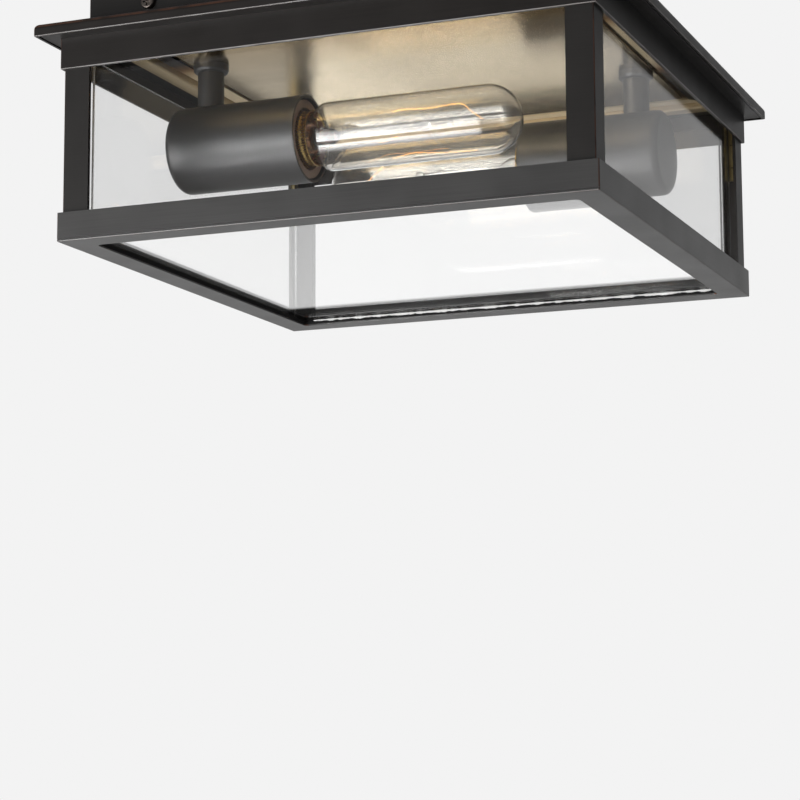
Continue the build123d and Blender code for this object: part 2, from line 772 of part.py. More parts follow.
# Pane clips: folded strips on the posts' inner faces, hooked over the top edges of the front and back panes
clip_wall = post_half - post_sheet
clip_top = pane_top + pane_gap
clip_place = pane_half - clip_lap + clip_width / 2
with BuildPart() as pane_clips:
    for ny in (-1, 1):
        for end in (-1, 1):
            with BuildSketch(Plane(origin=(end * clip_place, 0, 0), x_dir=(0, ny, 0), z_dir=(ny, 0, 0))):
                with BuildLine():
                    Polyline(
                        (clip_wall, clip_top),
                        (clip_wall, clip_top + clip_rise),
                        (clip_wall - clip_sheet, clip_top + clip_rise),
                        (clip_wall - clip_sheet, clip_top + clip_sheet),
                        (pane_inner - pane_gap - clip_sheet, clip_top + clip_sheet),
                        (pane_inner - pane_gap - clip_sheet, pane_top - clip_hook),
                        (pane_inner - pane_gap, pane_top - clip_hook),
                        (pane_inner - pane_gap, clip_top),
                        close=True,
                    )
                make_face()
            extrude(amount=clip_width / 2, both=True)
pane_clips.part.label = "pane_clips"
export_step(pane_clips.part, "parts/pane_clips.step")

# Side clips: tall spring strips on the back posts' inner faces, hooked behind the side panes' back ends
side_wall = pane_half + side_clip_gap
side_hook = pane_inner - pane_gap
with BuildPart() as side_clips:
    for nx in (-1, 1):
        plan = Plane(origin=(0, 0, pane_top), x_dir=(nx, 0, 0), z_dir=(0, 0, nx))
        with BuildSketch(plan):
            with BuildLine():
                Polyline(
                    (clip_wall, side_wall + side_clip_foot),
                    (clip_wall, side_wall),
                    (side_hook, side_wall),
                    (side_hook, pane_half - side_clip_hook),
                    (side_hook - clip_sheet, pane_half - side_clip_hook),
                    (side_hook - clip_sheet, side_wall + clip_sheet),
                    (clip_wall - clip_sheet, side_wall + clip_sheet),
                    (clip_wall - clip_sheet, side_wall + side_clip_foot),
                    close=True,
                )
            make_face()
        extrude(amount=-side_clip_height * nx)
side_clips.part.label = "side_clips"
export_step(side_clips.part, "parts/side_clips.step")
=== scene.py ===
import math

import bmesh
import bpy
from mathutils import Matrix, Vector, noise


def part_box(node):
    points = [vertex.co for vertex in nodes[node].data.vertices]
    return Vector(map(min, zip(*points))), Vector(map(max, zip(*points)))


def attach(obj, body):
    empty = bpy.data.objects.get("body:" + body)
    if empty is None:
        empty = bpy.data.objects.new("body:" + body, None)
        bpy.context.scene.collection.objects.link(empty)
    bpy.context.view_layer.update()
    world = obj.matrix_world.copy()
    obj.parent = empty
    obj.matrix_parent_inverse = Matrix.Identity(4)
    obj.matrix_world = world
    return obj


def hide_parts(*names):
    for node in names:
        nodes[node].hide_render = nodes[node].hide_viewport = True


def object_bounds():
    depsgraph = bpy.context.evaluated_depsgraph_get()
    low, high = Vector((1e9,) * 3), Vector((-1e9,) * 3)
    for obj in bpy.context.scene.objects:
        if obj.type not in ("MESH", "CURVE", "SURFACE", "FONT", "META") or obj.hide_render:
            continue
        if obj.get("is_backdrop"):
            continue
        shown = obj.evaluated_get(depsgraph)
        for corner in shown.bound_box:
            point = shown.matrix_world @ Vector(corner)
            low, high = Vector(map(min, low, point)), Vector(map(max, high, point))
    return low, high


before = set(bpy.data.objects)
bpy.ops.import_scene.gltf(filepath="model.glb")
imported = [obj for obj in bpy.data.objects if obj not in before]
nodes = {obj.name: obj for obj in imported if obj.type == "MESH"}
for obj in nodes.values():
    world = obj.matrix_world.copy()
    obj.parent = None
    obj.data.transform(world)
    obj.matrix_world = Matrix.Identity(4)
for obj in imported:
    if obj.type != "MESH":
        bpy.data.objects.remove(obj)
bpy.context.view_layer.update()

MM = 0.001
TURN = 2 * math.pi
scene = bpy.context.scene
scene.view_settings.view_transform = "Standard"


# Node and material helpers

def node(tree, kind, inputs=None, **settings):
    """Add a shader node, set its options, and link or set its inputs by name or number."""
    made = tree.nodes.new(kind)
    for key, value in settings.items():
        setattr(made, key, value)
    for key, value in (inputs or {}).items():
        if isinstance(value, bpy.types.NodeSocket):
            tree.links.new(value, made.inputs[key])
        else:
            made.inputs[key].default_value = value
    return made


def material(name, **constants):
    """Start a material: its tree, its Principled shader and the object's own coordinates."""
    made = bpy.data.materials.new(name)
    made.use_nodes = True
    tree = made.node_tree
    shader = tree.nodes["Principled BSDF"]
    for key, value in constants.items():
        shader.inputs[key.replace("_", " ")].default_value = value
    return made, tree, shader, node(tree, "ShaderNodeTexCoord").outputs["Object"]


def stretched(tree, coords, scale):
    """Coordinates stretched by a scale for each axis."""
    return node(tree, "ShaderNodeVectorMath", {0: coords, 1: scale}, operation="MULTIPLY").outputs[0]


def cloud(tree, coords, scale, detail=3.0):
    """Noise from 0 to 1."""
    return node(tree, "ShaderNodeTexNoise", {"Vector": coords, "Scale": scale, "Detail": detail}).outputs[0]


def span(tree, value, low, high, to_low=0.0, to_high=1.0):
    """Map a value from one range to another, clamped."""
    ends = {"Value": value, "From Min": low, "From Max": high, "To Min": to_low, "To Max": to_high}
    return node(tree, "ShaderNodeMapRange", ends).outputs[0]


def times(tree, first, second):
    """Product of two values."""
    return node(tree, "ShaderNodeMath", {0: first, 1: second}, operation="MULTIPLY").outputs[0]


def blend(tree, factor, first, second):
    """Colour between two colours."""
    mix = node(tree, "ShaderNodeMix", {0: factor, 6: first, 7: second}, data_type="RGBA")
    return mix.outputs[2]


def rough_height(tree, shader, height, strength, distance):
    """Bump a shader's surface by a height."""
    bump = node(tree, "ShaderNodeBump", {"Height": height, "Strength": strength, "Distance": distance})
    tree.links.new(bump.outputs[0], shader.inputs["Normal"])


def most(tree, *values):
    """Largest of some values."""
    largest = values[0]
    for value in values[1:]:
        largest = node(tree, "ShaderNodeMath", {0: largest, 1: value}, operation="MAXIMUM").outputs[0]
    return largest


def sizes(tree, vector):
    """The three parts of a vector, without their signs."""
    bare = node(tree, "ShaderNodeVectorMath", {0: vector}, operation="ABSOLUTE").outputs[0]
    return list(node(tree, "ShaderNodeSeparateXYZ", {0: bare}).outputs)


# Materials

def bronze_paint(name, dark, light, gloss, rough, zone="", bare_highlight_tone=0.2):
    """Satin dark bronze lacquer.

    The zone "edges" rubs rounded edges to a red brown, and paints a highlight as light bare metal
    on those that face down. "lining" adds to that a brass tone round the inside of the roof, and
    "opening" painted shade: a black inner wall round the bottom opening. The last argument is how
    light the painted highlight is.
    """
    made, tree, shader, coords = material(name, Specular_IOR_Level=gloss)
    patches = cloud(tree, coords, 45.0, 4.0)
    streaks = cloud(tree, stretched(tree, coords, (25.0, 25.0, 1900.0)), 1.0, 3.0)
    colour = blend(tree, patches, (*dark, 1), (*light, 1))
    sheen = tuple(1.5 * part for part in light)
    colour = blend(tree, span(tree, streaks, 0.35, 0.75, 0.0, 0.4), colour, (*sheen, 1))
    dullness = span(tree, patches, 0.3, 0.7, rough - 0.03, rough + 0.03)
    if zone:
        normal = node(tree, "ShaderNodeNewGeometry").outputs["Normal"]
        edge = span(tree, most(tree, *sizes(tree, normal)), 0.985, 0.93)
        down = span(tree, node(tree, "ShaderNodeSeparateXYZ", {0: normal}).outputs["Z"], -0.05, -0.25)
        worn = times(tree, edge, span(tree, cloud(tree, coords, 120.0, 4.0), 0.35, 0.6, 0.25, 1.0))
        colour = blend(tree, worn, colour, (0.075, 0.032, 0.019, 1))
        # Painted highlight: rounded edges that face down turn light, like bare metal, where light catches
        # them
        rubbed = span(tree, cloud(tree, coords, 60.0, 3.0), 0.3, 0.55, 0.5, 1.0)
        bare = times(tree, times(tree, edge, down), rubbed)
        colour = blend(tree, bare, colour, (bare_highlight_tone, 0.96 * bare_highlight_tone, 0.94 * bare_highlight_tone, 1))
    if zone in ("lining", "opening"):
        place = sizes(tree, coords)
        reach = most(tree, place[0], place[1])
    if zone == "lining":
        inside = times(tree, span(tree, reach, LINING_OUTER, LINING_OUTER - 0.3 * MM),
                       span(tree, reach, LINING_INNER, LINING_INNER + 0.2 * MM))
        lined = times(tree, inside, span(tree, place[2], LINING_LEVEL + 0.3 * MM, LINING_LEVEL))
        # The outer face of the roof's collar stays painted
        outward = node(tree, "ShaderNodeVectorMath", {0: normal, 1: coords}, operation="DOT_PRODUCT")
        lined = times(tree, lined, span(tree, outward.outputs["Value"], 0.06, 0.05))
        colour = blend(tree, lined, colour, (0.46, 0.36, 0.22, 1))
        tree.links.new(times(tree, lined, 0.35), shader.inputs["Metallic"])
    if zone == "opening":
        # Painted shade: the inner wall round the bottom opening is painted black and fully rough
        shaded_wall = times(tree, span(tree, reach, OPENING_HALF + 0.25 * MM, OPENING_HALF + 0.1 * MM),
                     span(tree, place[2], OPENING_LEVEL, OPENING_LEVEL - 0.2 * MM))
        colour = blend(tree, shaded_wall, colour, (0.0006, 0.0006, 0.0006, 1))
        dullness = node(tree, "ShaderNodeMix", {0: shaded_wall, 2: dullness, 3: 1.0}).outputs[0]
    tree.links.new(colour, shader.inputs["Base Color"])
    tree.links.new(dullness, shader.inputs["Roughness"])
    rough_height(tree, shader, streaks, 0.02, 0.05 * MM)
    return made


def reflector_brass(name, metallic, rough, shaded_ends=False):
    """Satin brass sheet, brushed along X, with painted light that makes it paler towards the back.
    The last argument paints shade on the sheet's two sides at their ends, to brown and then to black.
    """
    made, tree, shader, coords = material(name, Metallic=metallic)
    brushed = cloud(tree, stretched(tree, coords, (5.0, 260.0, 260.0)), 1.0, 3.0)
    clouds = cloud(tree, coords, 22.0, 3.0)
    colour = blend(tree, clouds, (0.50, 0.33, 0.12, 1), (0.56, 0.38, 0.15, 1))
    # Painted light: the sheet turns paler towards the back
    depth = node(tree, "ShaderNodeSeparateXYZ", {0: coords}).outputs["Y"]
    colour = blend(tree, span(tree, depth, BRASS_LIT_NEAR, BRASS_LIT_FAR), colour, (0.67, 0.555, 0.37, 1))
    colour = blend(tree, span(tree, brushed, 0.35, 0.7, 0.0, 0.2), colour, (0.50, 0.38, 0.22, 1))
    if shaded_ends:
        # Painted shade: the two sides darken at their ends, to brown and then to black
        across, deep = sizes(tree, coords)[:2]
        side = node(tree, "ShaderNodeMath", {0: across, 1: deep}, operation="GREATER_THAN").outputs[0]
        brown = times(tree, side, span(tree, deep, *SHADE_BROWN_SPAN))
        colour = blend(tree, brown, colour, (0.22, 0.10, 0.025, 1))
        black = times(tree, side, span(tree, deep, *SHADE_BLACK_SPAN))
        colour = blend(tree, black, colour, (0.012, 0.009, 0.007, 1))
    tree.links.new(colour, shader.inputs["Base Color"])
    tree.links.new(span(tree, brushed, 0.25, 0.75, rough - 0.03, rough + 0.03), shader.inputs["Roughness"])
    return made


def bare_metal(name, dull, bright, rough):
    """Plain metal with faint stains and fine scratches."""
    made, tree, shader, coords = material(name, Metallic=1.0)
    stains = cloud(tree, coords, 160.0, 4.0)
    scratches = cloud(tree, stretched(tree, coords, (300.0, 2600.0, 1400.0)), 1.0, 3.0)
    tree.links.new(blend(tree, stains, (*dull, 1), (*bright, 1)), shader.inputs["Base Color"])
    tree.links.new(span(tree, scratches, 0.3, 0.7, rough * 0.75, rough * 1.3), shader.inputs["Roughness"])
    rough_height(tree, shader, scratches, 0.06, 0.03 * MM)
    return made


def moulded(name, dark, light, rough, grain_scale):
    """Moulded or coated material with a mottled colour and a fine grain."""
    made, tree, shader, coords = material(name)
    mottle = cloud(tree, coords, grain_scale * 0.2, 4.0)
    grain = cloud(tree, coords, grain_scale, 2.0)
    tree.links.new(blend(tree, mottle, (*dark, 1), (*light, 1)), shader.inputs["Base Color"])
    tree.links.new(span(tree, grain, 0.3, 0.7, rough - 0.06, rough + 0.06), shader.inputs["Roughness"])
    rough_height(tree, shader, grain, 0.15, 0.05 * MM)
    return made


def clear_glass(name, tint, rough, wave_scale, wave, gloss=0.5, bloom=0.0):
    """Clear glass with slight waves, which lets lamp light through.

    bloom is the weight of a film that blurs its highlights.
    """
    made, tree, shader, coords = material(
        name, Base_Color=(*tint, 1), Transmission_Weight=1.0, Roughness=rough, IOR=1.5,
        Specular_IOR_Level=gloss, Coat_Weight=bloom, Coat_Roughness=0.24,
    )
    waves = cloud(tree, stretched(tree, coords, wave_scale), 1.0, 2.0)
    rough_height(tree, shader, waves, wave, 0.2 * MM)
    passing = node(tree, "ShaderNodeBsdfTransparent", {"Color": (*tint, 1)}).outputs[0]
    is_shadow = node(tree, "ShaderNodeLightPath").outputs["Is Shadow Ray"]
    mixed = node(tree, "ShaderNodeMixShader", {0: is_shadow, 1: shader.outputs[0], 2: passing})
    tree.links.new(mixed.outputs[0], tree.nodes["Material Output"].inputs["Surface"])
    return made


def stained_mount():
    """Glass of the bulbs' mounts, stained red brown where it goes into the cap."""
    clear, stained = (0.96, 0.97, 0.95), (0.84, 0.50, 0.38)
    made = clear_glass("mount_glass", clear, 0.02, (90.0, 160.0, 160.0), 0.2)
    tree = made.node_tree
    along = sizes(tree, node(tree, "ShaderNodeTexCoord").outputs["Object"])[0]
    colour = blend(tree, span(tree, along, STAIN_START, STAIN_END), (*clear, 1), (*stained, 1))
    tree.links.new(colour, tree.nodes["Principled BSDF"].inputs["Base Color"])
    return made


def glowing_wire():
    """Filament: a glow that runs from orange to yellow in patches."""
    made, tree, shader, coords = material("glowing_wire", Base_Color=(0.35, 0.16, 0.06, 1), Roughness=0.5)
    heat = span(tree, cloud(tree, coords, 180.0, 2.0), 0.3, 0.7)
    glow = blend(tree, heat, (1.0, 0.40, 0.09, 1), (1.0, 0.58, 0.21, 1))
    tree.links.new(glow, shader.inputs["Emission Color"])
    shader.inputs["Emission Strength"].default_value = 2.2
    return made


# Inside of the roof that is toned like brass, and inner wall of the bottom opening, painted black as shade,
# from the frame's origin
LINING_OUTER = 117.0 * MM
LINING_INNER = 109.0 * MM
LINING_LEVEL = 22.3 * MM
OPENING_HALF = 112.2 * MM
OPENING_LEVEL = 116.3 * MM
# Depths between which the brass sheet turns paler, as painted light
BRASS_LIT_NEAR = -90.0 * MM
BRASS_LIT_FAR = -20.0 * MM
# Distances from the middle over which the reflector strip's sides turn brown, and then black, as painted
# shade
SHADE_BROWN_SPAN = (28.0 * MM, 44.0 * MM)
SHADE_BLACK_SPAN = (38.0 * MM, 52.0 * MM)
# Distances from the middle over which a bulb's mount takes its stain
STAIN_START = 31.0 * MM
STAIN_END = 35.0 * MM

DARK, LIGHT = (0.0084, 0.0074, 0.0068), (0.0136, 0.0119, 0.0109)
bronze = bronze_paint("bronze_paint", DARK, LIGHT, 0.36, 0.40, "edges")
# Painted shade: the roof and skirt take a darker copy of the bronze paint, for the shade they lie in
SHADED_ROOF_DARK, SHADED_ROOF_LIGHT = (0.0064, 0.0050, 0.0043), (0.0108, 0.0086, 0.0074)
lined_bronze_shaded = bronze_paint("lined_bronze_paint", SHADED_ROOF_DARK, SHADED_ROOF_LIGHT, 0.36, 0.40, "lining")
# Painted light: the bottom frame takes a lighter copy of the bronze paint, for the light it catches from
# below
LIT_FRAME_DARK, LIT_FRAME_LIGHT = (0.028, 0.027, 0.027), (0.039, 0.038, 0.037)
frame_bronze_lit = bronze_paint("frame_bronze_paint", LIT_FRAME_DARK, LIT_FRAME_LIGHT, 0.6, 0.33, "opening", 0.13)
cup_bronze = bronze_paint("cup_bronze_paint", (0.014, 0.0135, 0.013), (0.020, 0.019, 0.0185), 0.85, 0.42)
brass_sheet = reflector_brass("reflector_brass", 1.0, 0.21)
# The reflector strip takes painted shade at the ends of its sides
strip_brass = reflector_brass("strip_brass", 0.45, 0.4, True)
lamp_brass = bare_metal("lamp_brass", (0.66, 0.44, 0.15), (0.83, 0.60, 0.24), 0.26)
zinc = bare_metal("zinc_steel", (0.50, 0.50, 0.52), (0.66, 0.66, 0.68), 0.34)
yellow_zinc = bare_metal("yellow_zinc", (0.15, 0.12, 0.055), (0.27, 0.22, 0.11), 0.34)
screw_steel = bare_metal("screw_steel", (0.10, 0.085, 0.075), (0.24, 0.21, 0.19), 0.36)
wire_steel = bare_metal("wire_steel", (0.34, 0.31, 0.28), (0.52, 0.48, 0.43), 0.3)
solder = bare_metal("solder", (0.52, 0.52, 0.54), (0.72, 0.72, 0.73), 0.4)
phenolic = moulded("phenolic", (0.20, 0.138, 0.108), (0.27, 0.195, 0.16), 0.42, 1400.0)
cement = moulded("cement", (0.46, 0.16, 0.10), (0.62, 0.26, 0.17), 0.7, 500.0)
green_lacquer = moulded("green_lacquer", (0.008, 0.085, 0.022), (0.014, 0.13, 0.034), 0.35, 800.0)
black_glass = moulded("black_glass", (0.004, 0.004, 0.005), (0.012, 0.012, 0.014), 0.14, 500.0)
silicone = moulded("silicone", (0.80, 0.80, 0.79), (0.92, 0.92, 0.91), 0.4, 700.0)
# Painted shade: the sealant beads round the bottom glass are painted black where they lie in shade
shade_black_sealant = moulded("shade_black_sealant", (0.0015, 0.0015, 0.0015), (0.004, 0.004, 0.004), 0.8, 700.0)
pane_glass = clear_glass("pane_glass", (0.997, 0.998, 0.997), 0.0, (7.0, 7.0, 7.0), 0.012, 0.06)
ground_edge = clear_glass("ground_edge", (0.90, 0.93, 0.92), 0.45, (900.0, 900.0, 900.0), 0.6)
# Painted shade: black edges for the panes whose edges lie in shade behind the posts
shaded_edge = moulded("shaded_edge", (0.003, 0.003, 0.003), (0.007, 0.007, 0.007), 0.7, 900.0)
bulb_glass = clear_glass("bulb_glass", (0.995, 0.982, 0.952), 0.0, (22.0, 70.0, 70.0), 0.08, 0.1, 0.45)
mount_glass = stained_mount()
filament_glow = glowing_wire()

node_materials = {
    bronze: [
        "canopy_box", "pane_clips",
        "front_left_post", "front_right_post", "back_left_post", "back_right_post",
    ],
    lined_bronze_shaded: ["roof_plate", "skirt"],
    frame_bronze_lit: ["bottom_frame"],
    brass_sheet: ["socket_plate", "plate_screws"],
    strip_brass: ["reflector_strip"],
    screw_steel: ["grip_screws"],
    zinc: ["grip_nuts", "plate_spacers"],
    yellow_zinc: ["side_clips"],
    green_lacquer: ["earth_screw"],
    shade_black_sealant: ["sealant"],
}
lamp_materials = {
    cup_bronze: ["stem", "ring", "cup"],
    zinc: ["lock_nuts", "bracket"],
    phenolic: ["lampholder"],
    lamp_brass: ["centre_contact"],
    solder: ["bulb_contact"],
    black_glass: ["bulb_insulator"],
}
for finish, members in lamp_materials.items():
    node_materials[finish] = node_materials.get(finish, []) + [
        f"{lamp}_{member}" for lamp in ("front", "rear") for member in members
    ]
for finish, members in node_materials.items():
    for member in members:
        nodes[member].data.materials.clear()
        nodes[member].data.materials.append(finish)


# Mesh helpers

def add_piece(name, mesh, body, finishes, stands_for=()):
    """Add a piece that rides on a body, materials and the nodes that it stands for."""
    for finish in finishes:
        mesh.materials.append(finish)
    piece = bpy.data.objects.new(name, mesh)
    scene.collection.objects.link(piece)
    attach(piece, body)
    if stands_for:
        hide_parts(*stands_for)


def to_mesh(name, bm, smooth_angle=35.0):
    """Turn a bmesh into a mesh with outward normals, smooth but for its sharp edges."""
    bmesh.ops.recalc_face_normals(bm, faces=bm.faces)
    mesh = bpy.data.meshes.new(name)
    bm.to_mesh(mesh)
    bm.free()
    mesh.polygons.foreach_set("use_smooth", [True] * len(mesh.polygons))
    mesh.set_sharp_from_angle(angle=math.radians(smooth_angle))
    return mesh


def turned(bm, place, profile, steps, wave=None, closed=True):
    """Turn (along, radius) points about the lamp's axis. wave adds to a radius by distance and angle."""
    rings = []
    for along, radius in profile:
        if radius < 1e-6:
            rings.append([bm.verts.new(place @ Vector((along, 0, 0)))])
            continue
        ring = []
        for step in range(steps):
            angle = TURN * step / steps
            reach = radius + (wave(along, angle) if wave else 0)
            spot = Vector((along, reach * math.cos(angle), reach * math.sin(angle)))
            ring.append(bm.verts.new(place @ spot))
        rings.append(ring)
    pairs = list(zip(rings, rings[1:]))
    if closed:
        pairs.append((rings[-1], rings[0]))
    for first, second in pairs:
        if len(first) == 1 and len(second) == 1:
            continue
        for step in range(steps):
            after = (step + 1) % steps
            corners = [first[step % len(first)], first[after % len(first)]]
            corners += [second[after % len(second)], second[step % len(second)]]
            bm.faces.new(list(dict.fromkeys(corners)))


def tube(bm, place, points, radius, sides=6):
    """Round wire along points, closed at both ends."""
    path = [Vector(point) for point in points]
    ways = []
    for index in range(len(path)):
        ahead = path[min(index + 1, len(path) - 1)] - path[max(index - 1, 0)]
        ways.append(ahead.normalized())
    across = ways[0].orthogonal().normalized()
    rings = []
    for point, way in zip(path, ways):
        across = (across - way * across.dot(way)).normalized()
        other = way.cross(across)
        ring = []
        for side in range(sides):
            angle = TURN * side / sides
            offset = across * math.cos(angle) + other * math.sin(angle)
            ring.append(bm.verts.new(place @ (point + offset * radius)))
        rings.append(ring)
    for first, second in zip(rings, rings[1:]):
        for side in range(sides):
            after = (side + 1) % sides
            bm.faces.new((first[side], first[after], second[after], second[side]))
    bm.faces.new(rings[0])
    bm.faces.new(rings[-1])


def smooth_step(value):
    """Ease from 0 to 1."""
    value = min(max(value, 0.0), 1.0)
    return value * value * (3 - 2 * value)


def through(points, steps):
    """Points on a smooth line through the given points."""
    ends = [points[0]] + points + [points[-1]]
    line = []
    for before, first, second, after in zip(ends, ends[1:], ends[2:], ends[3:]):
        for step in range(steps):
            t = step / steps
            line.append(tuple(
                0.5 * (2 * q + (r - p) * t + (2 * p - 5 * q + 4 * r - s) * t * t
                       + (3 * q - p - 3 * r + s) * t ** 3)
                for p, q, r, s in zip(before, first, second, after)
            ))
    return line + [tuple(points[-1])]


# Lamps: sizes are in mm, and distances run along a lamp's axis, as in the solids
CAP_START = -54.7
CAP_RIM = -35.2
CAP_GRIP = 5.0
CAP_WALL = 0.35
CAP_THREAD = 0.38
NECK_RADIUS = 12.2
SHOULDER_END = -28.2
BULB_RADIUS = 15.9
DOME_START = 49.0
GLASS_WALL = 0.7
PITCH = 3.6286
SHELL_BACK = -61.0
SHELL_FRONT = -41.9
SHELL_RADIUS = 13.3
SHELL_WALL = 0.25
SHELL_THREAD = 0.18
COIL_RADIUS = 0.16
COIL_SWING = 1.9
FILAMENT_RADIUS = 0.13
LEAD_RADIUS = 0.14
ROUND_STEPS = 96


def bulb_line(inset):
    """Profile of the bulb from neck to tip, moved in by an inset."""
    line = [(CAP_RIM - CAP_GRIP, NECK_RADIUS - inset)]
    for step in range(17):
        rise = smooth_step(step / 16)
        along = CAP_RIM + (SHOULDER_END - CAP_RIM) * step / 16
        line.append((along, NECK_RADIUS + (BULB_RADIUS - NECK_RADIUS) * rise - inset))
    for step in range(1, 9):
        line.append((SHOULDER_END + (DOME_START - SHOULDER_END) * step / 8, BULB_RADIUS - inset))
    radius = BULB_RADIUS - inset
    for step in range(1, 25):
        angle = math.pi / 2 * step / 24
        line.append((DOME_START + radius * math.sin(angle), radius * math.cos(angle) if step < 24 else 0.0))
    return line


def thread(depth, start, end):
    """Screw thread as a wave on a radius, which fades out at its two ends."""
    def wave(along, angle):
        fade = smooth_step((along - start) / PITCH) * smooth_step((end - along) / PITCH)
        return depth * fade * math.cos(TURN * along / PITCH - angle)
    return wave


for lamp, turn in (("front", 1), ("rear", -1)):
    cup_low, cup_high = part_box(f"{lamp}_cup")
    axis_y, axis_z = (cup_low[1] + cup_high[1]) / 2, (cup_low[2] + cup_high[2]) / 2
    place = Matrix((
        (turn * MM, 0, 0, 0),
        (0, 0, -turn * MM, axis_y),
        (0, MM, 0, axis_z),
        (0, 0, 0, 1),
    ))
    bulb = f"{lamp}_bulb"

    # Blown envelope
    bm = bmesh.new()
    turned(bm, place, bulb_line(0) + bulb_line(GLASS_WALL)[::-1], ROUND_STEPS)
    add_piece(f"{lamp}_envelope", to_mesh(f"{lamp}_envelope", bm, 60), bulb,
              [bulb_glass], [f"{lamp}_bulb_glass"])

    # Threaded cap with a rolled rim
    outer = [(CAP_START, 0), (CAP_START, 7.5), (CAP_START + 1.0, 8.9), (CAP_START + 3.4, 11.4)]
    outer += [(CAP_START + 5.0 + step * 0.45, 12.6) for step in range(30)]
    outer += [(CAP_RIM - 0.9, 12.75), (CAP_RIM - 0.3, 13.0), (CAP_RIM, 12.85)]
    inner = []
    for along, radius in outer[1:-1]:
        shift = CAP_WALL if along < CAP_START + 4 else 0
        inner.append((along + shift, max(radius - CAP_WALL, 0)))
    bm = bmesh.new()
    turned(bm, place, outer + inner[::-1] + [(CAP_START + CAP_WALL, 0)], ROUND_STEPS,
           thread(CAP_THREAD, CAP_START + 4.0, CAP_RIM - 0.8))
    add_piece(f"{lamp}_cap_shell", to_mesh(f"{lamp}_cap_shell", bm), bulb,
              [lamp_brass], [f"{lamp}_bulb_cap"])

    # Cement that holds the neck in the cap
    bm = bmesh.new()
    plug = [(-5.9, 0), (-5.9, 12.1), (-0.6, 12.15), (-0.6, 12.25), (-6.6, 12.2), (-6.6, 0)]
    turned(bm, place, [(CAP_RIM + along, radius) for along, radius in plug], 48)
    add_piece(f"{lamp}_cement", to_mesh(f"{lamp}_cement", bm), bulb, [cement])

    # Threaded screw shell
    length = SHELL_FRONT - SHELL_BACK
    liner = [(SHELL_BACK + length * step / 60, SHELL_RADIUS) for step in range(61)]
    backing = [(along, radius + SHELL_WALL) for along, radius in liner[::-1]]
    bm = bmesh.new()
    turned(bm, place, liner + backing, ROUND_STEPS, thread(SHELL_THREAD, SHELL_BACK, SHELL_FRONT))
    add_piece(f"{lamp}_shell_thread", to_mesh(f"{lamp}_shell_thread", bm), "canopy",
              [lamp_brass], [f"{lamp}_screw_shell"])

    # Glass mount: flared foot, pinched seal, rod and button
    foot = [(-40.2, 0), (-40.2, 11.3), (-39.5, 11.3), (-38.2, 9.2), (-36.6, 6.4), (-34.6, 4.9)]
    foot += [(-32.0, 4.6), (-29.2, 4.5), (-26.8, 3.9), (-24.8, 2.6), (-23.2, 1.5), (-19.3, 1.3)]
    foot += [(15.8, 1.25), (17.0, 1.7), (18.0, 2.3), (19.1, 2.4), (20.2, 2.1), (21.0, 1.3), (21.3, 0)]
    bm = bmesh.new()
    turned(bm, place, foot, 40, closed=False)
    add_piece(f"{lamp}_mount", to_mesh(f"{lamp}_mount", bm, 60), bulb,
              [mount_glass], [f"{lamp}_bulb_mount"])

    # Filament: the two coiled strands of a wide hairpin, and a short one beside the rod
    strands = [
        through([(2.9, 8.2, 0), (6.8, 9.0, 0), (20.8, 8.2, 0), (35.3, 8.8, 0), (40.8, 4.8, 0),
                 (46.3, 0.4, 0)], 10),
        through([(43.8, -13.4, 0), (38.8, -13.4, 0), (26.8, -13.0, 0), (13.8, -11.8, 0), (6.8, -12.6, 0),
                 (2.9, -13.4, 0)], 10),
        through([(-4.0, -5.2, 0), (-0.5, -4.9, 0), (2.6, -3.9, 0), (5.0, -3.5, 0)], 8),
    ]
    bm = bmesh.new()
    for strand in strands:
        coil = []
        for index, (along, up, out) in enumerate(strand):
            swing = index * COIL_SWING
            coil.append((along, up + COIL_RADIUS * math.cos(swing), out + COIL_RADIUS * math.sin(swing)))
        tube(bm, place, coil, FILAMENT_RADIUS)
    add_piece(f"{lamp}_glow", to_mesh(f"{lamp}_glow", bm), bulb,
              [filament_glow], [f"{lamp}_filament"])

    # Lead wires and hooks that hold the filament, and the link at its far end
    bm = bmesh.new()
    for line in (
        [(-31, 2.0, 0), (-25, 3.4, 0), (-18, 5.2, 0), (-6, 7.4, 0), (3.1, 8.3, 0)],
        [(-31, -2.0, 0), (-25, -3.4, 0), (-18, -6.6, 0), (-6, -11.4, 0), (3.1, -13.3, 0)],
        [(-20, 1.4, 0), (-14, -1.2, 0), (-8, -4.0, 0), (-3.8, -5.2, 0)],
        [(4.8, -3.5, 0), (8.0, -2.6, 0), (10.0, -1.2, 0)],
        [(19.2, 1.0, 0), (22.8, 4.6, 0), (26.8, 7.6, 0), (28.8, 8.9, 0.3), (29.4, 8.5, -0.3)],
        [(19.8, 0.6, 0), (28.8, 1.2, 0), (38.8, 0.7, 0), (46.4, -0.2, 0.2), (47.0, 0.4, 0)],
        [(46.3, 0.4, 0), (46.2, -1.0, 0.4), (45.4, -7.4, 0.8), (44.4, -12.6, 0.2), (43.6, -13.4, 0)],
        [(19.2, -1.0, 0), (22.8, -5.4, 0), (26.8, -11.2, 0), (28.8, -13.3, 0.3), (29.4, -12.9, -0.3)],
    ):
        tube(bm, place, through(line, 6), LEAD_RADIUS)
    add_piece(f"{lamp}_wires", to_mesh(f"{lamp}_wires", bm), bulb, [wire_steel])


# Panes: slabs with ground edges, or edges painted black as shade

